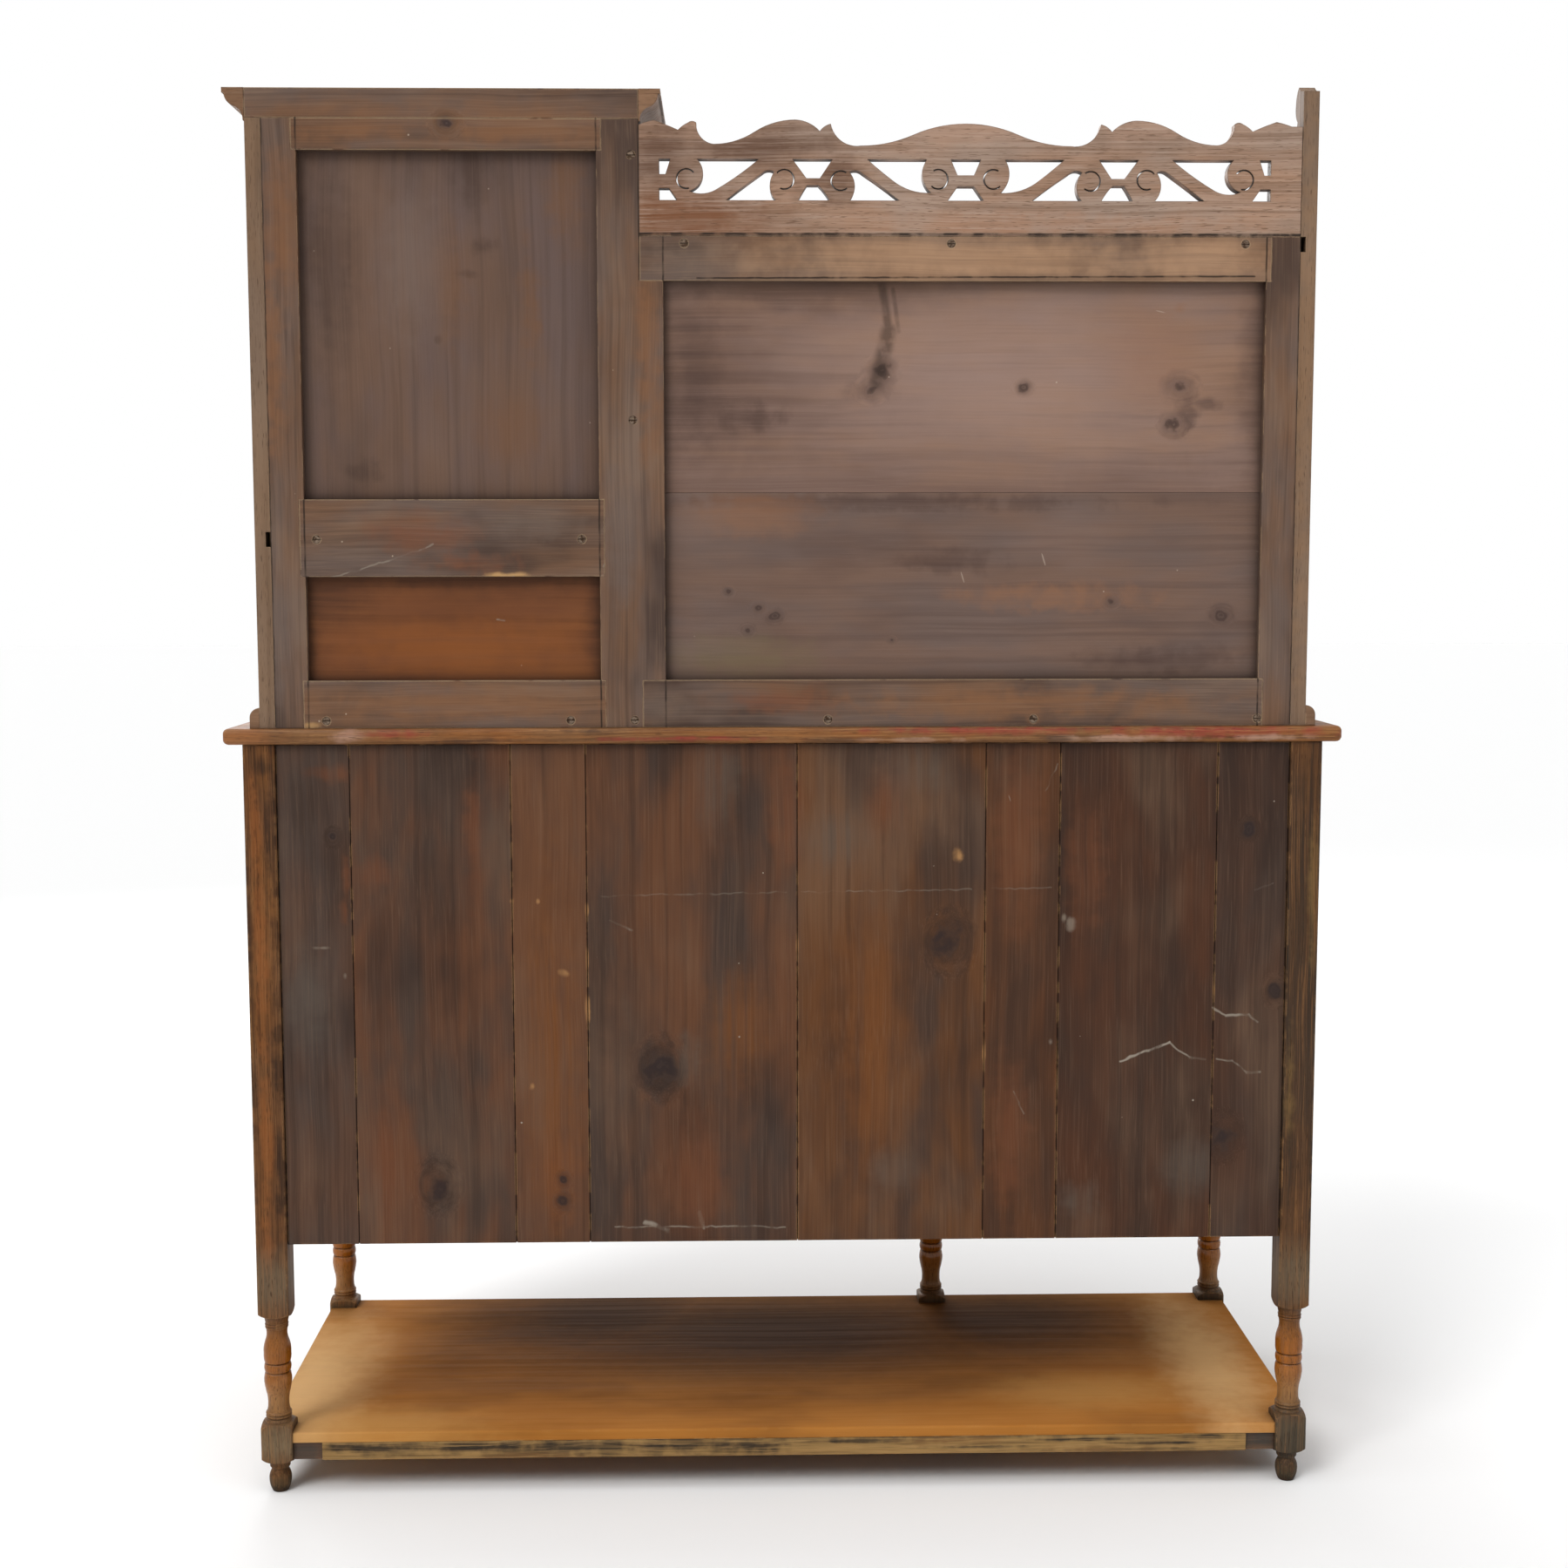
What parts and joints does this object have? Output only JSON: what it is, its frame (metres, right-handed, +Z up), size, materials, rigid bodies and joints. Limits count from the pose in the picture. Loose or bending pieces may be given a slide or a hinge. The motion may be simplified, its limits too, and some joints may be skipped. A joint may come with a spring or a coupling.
{
  "type": "kitchen dresser",
  "caption": "Free-standing oak kitchen dresser on turned legs with a pot board, drawers and doors below, and a tall cupboard, display shelf and pierced gallery above.",
  "frame": {"origin": "on the floor, under the middle of the worktop", "axes": "+Z up, +X to the right seen from the front, +Y to the back, so the doors and drawers open along -Y"},
  "size_m": [1.372, 0.526, 1.742],
  "materials": {
    "oak_frame": "dark stained oak, worn",
    "turned_oak": "turned oak, varnished",
    "carved_oak": "oak, old varnish",
    "stained_boards": "softwood boards, dark stain",
    "stained_panel": "thin boards, red stain",
    "pot_board_wood": "glossy varnish",
    "pale_batten": "bare wood",
    "inner_wood": "unfinished softwood",
    "brass": "aged",
    "iron": "dark, slotted"
  },
  "bodies": {
    "carcass": {"worktop": "oak_frame", "base_front_rails": "oak_frame", "base_carcass_rails": "oak_frame", "back_stiles": "oak_frame", "back_rails": "oak_frame", "cornice_back_board": "oak_frame", "cupboard_frieze": "oak_frame", "back_leg_left": "turned_oak", "back_leg_right": "turned_oak", "front_leg_left": "turned_oak", "front_leg_middle": "turned_oak", "front_leg_right": "turned_oak", "gallery": "carved_oak", "end_upright": "carved_oak", "display_shelf": "carved_oak", "cornice": "carved_oak", "base_beads": "carved_oak", "cupboard_outer_side": "carved_oak", "cupboard_inner_side": "carved_oak", "base_back_boards": "stained_boards", "cupboard_back_panel": "stained_panel", "niche_back_panel": "stained_panel", "open_back_panel": "stained_panel", "base_end_panels": "stained_panel", "pot_board": "pot_board_wood", "pot_board_rails": "pot_board_wood", "pot_board_batten": "pale_batten", "base_floor": "inner_wood", "base_partition": "inner_wood", "drawer_runners": "inner_wood", "inner_shelves": "inner_wood", "shelf_cleats": "inner_wood", "upper_base_boards": "inner_wood", "cupboard_top": "inner_wood", "cupboard_floor": "inner_wood", "hinge_frame_leaves": "brass", "back_screws": "iron"},
    "door_left": {"door_left_frame": "oak_frame", "door_left_panel": "stained_panel", "door_left_hinge_leaves": "brass"},
    "door_middle": {"door_middle_frame": "oak_frame", "door_middle_panel": "stained_panel", "door_middle_hinge_leaves": "brass"},
    "door_right": {"door_right_frame": "oak_frame", "door_right_panel": "stained_panel", "door_right_hinge_leaves": "brass"},
    "door_upper": {"door_upper_frame": "oak_frame", "door_upper_panel": "stained_panel", "door_upper_hinge_leaves": "brass"},
    "catch_left": {"catch_left": "brass"},
    "catch_right": {"catch_right": "brass"},
    "catch_upper": {"catch_upper": "brass"},
    "bolt": {"bolt_middle": "brass"},
    "drawer_short": {"drawer_short_front": "oak_frame", "drawer_short_box": "inner_wood", "drawer_short_knobs": "brass"},
    "drawer_long": {"drawer_long_front": "oak_frame", "drawer_long_box": "inner_wood", "drawer_long_knobs": "brass"}
  },
  "joints": [
    {"name": "door_left_swing", "type": "hinge", "parent": "carcass", "child": "door_left", "pos_m": [-0.6232, -0.2464, 0.561], "axis": [0, 0, -1], "range_deg": [0, 110]},
    {"name": "door_middle_swing", "type": "hinge", "parent": "carcass", "child": "door_middle", "pos_m": [-0.2067, -0.2464, 0.561], "axis": [0, 0, -1], "range_deg": [0, 110]},
    {"name": "door_right_swing", "type": "hinge", "parent": "carcass", "child": "door_right", "pos_m": [0.6232, -0.2464, 0.561], "axis": [0, 0, 1], "range_deg": [0, 110]},
    {"name": "door_upper_swing", "type": "hinge", "parent": "carcass", "child": "door_upper", "pos_m": [0.6212, 0.0136, 1.435], "axis": [0, 0, 1], "range_deg": [0, 110]},
    {"name": "catch_left_turn", "type": "hinge", "parent": "door_left", "child": "catch_left", "pos_m": [-0.2741, -0.233, 0.58541], "axis": [0, -1, 0], "range_deg": [0, 90]},
    {"name": "catch_right_turn", "type": "hinge", "parent": "door_right", "child": "catch_right", "pos_m": [0.23505, -0.233, 0.58541], "axis": [0, 1, 0], "range_deg": [0, 90]},
    {"name": "catch_upper_turn", "type": "hinge", "parent": "door_upper", "child": "catch_upper", "pos_m": [0.2206, 0.027, 1.46181], "axis": [0, 1, 0], "range_deg": [0, 90]},
    {"name": "bolt_slide", "type": "slide", "parent": "door_middle", "child": "bolt", "axis": [0, 0, 1], "range_m": [0, 0.013]},
    {"name": "drawer_short_slide", "type": "slide", "parent": "carcass", "child": "drawer_short", "axis": [0, -1, 0], "range_m": [0, 0.3]},
    {"name": "drawer_long_slide", "type": "slide", "parent": "carcass", "child": "drawer_long", "axis": [0, -1, 0], "range_m": [0, 0.3]}
  ]
}
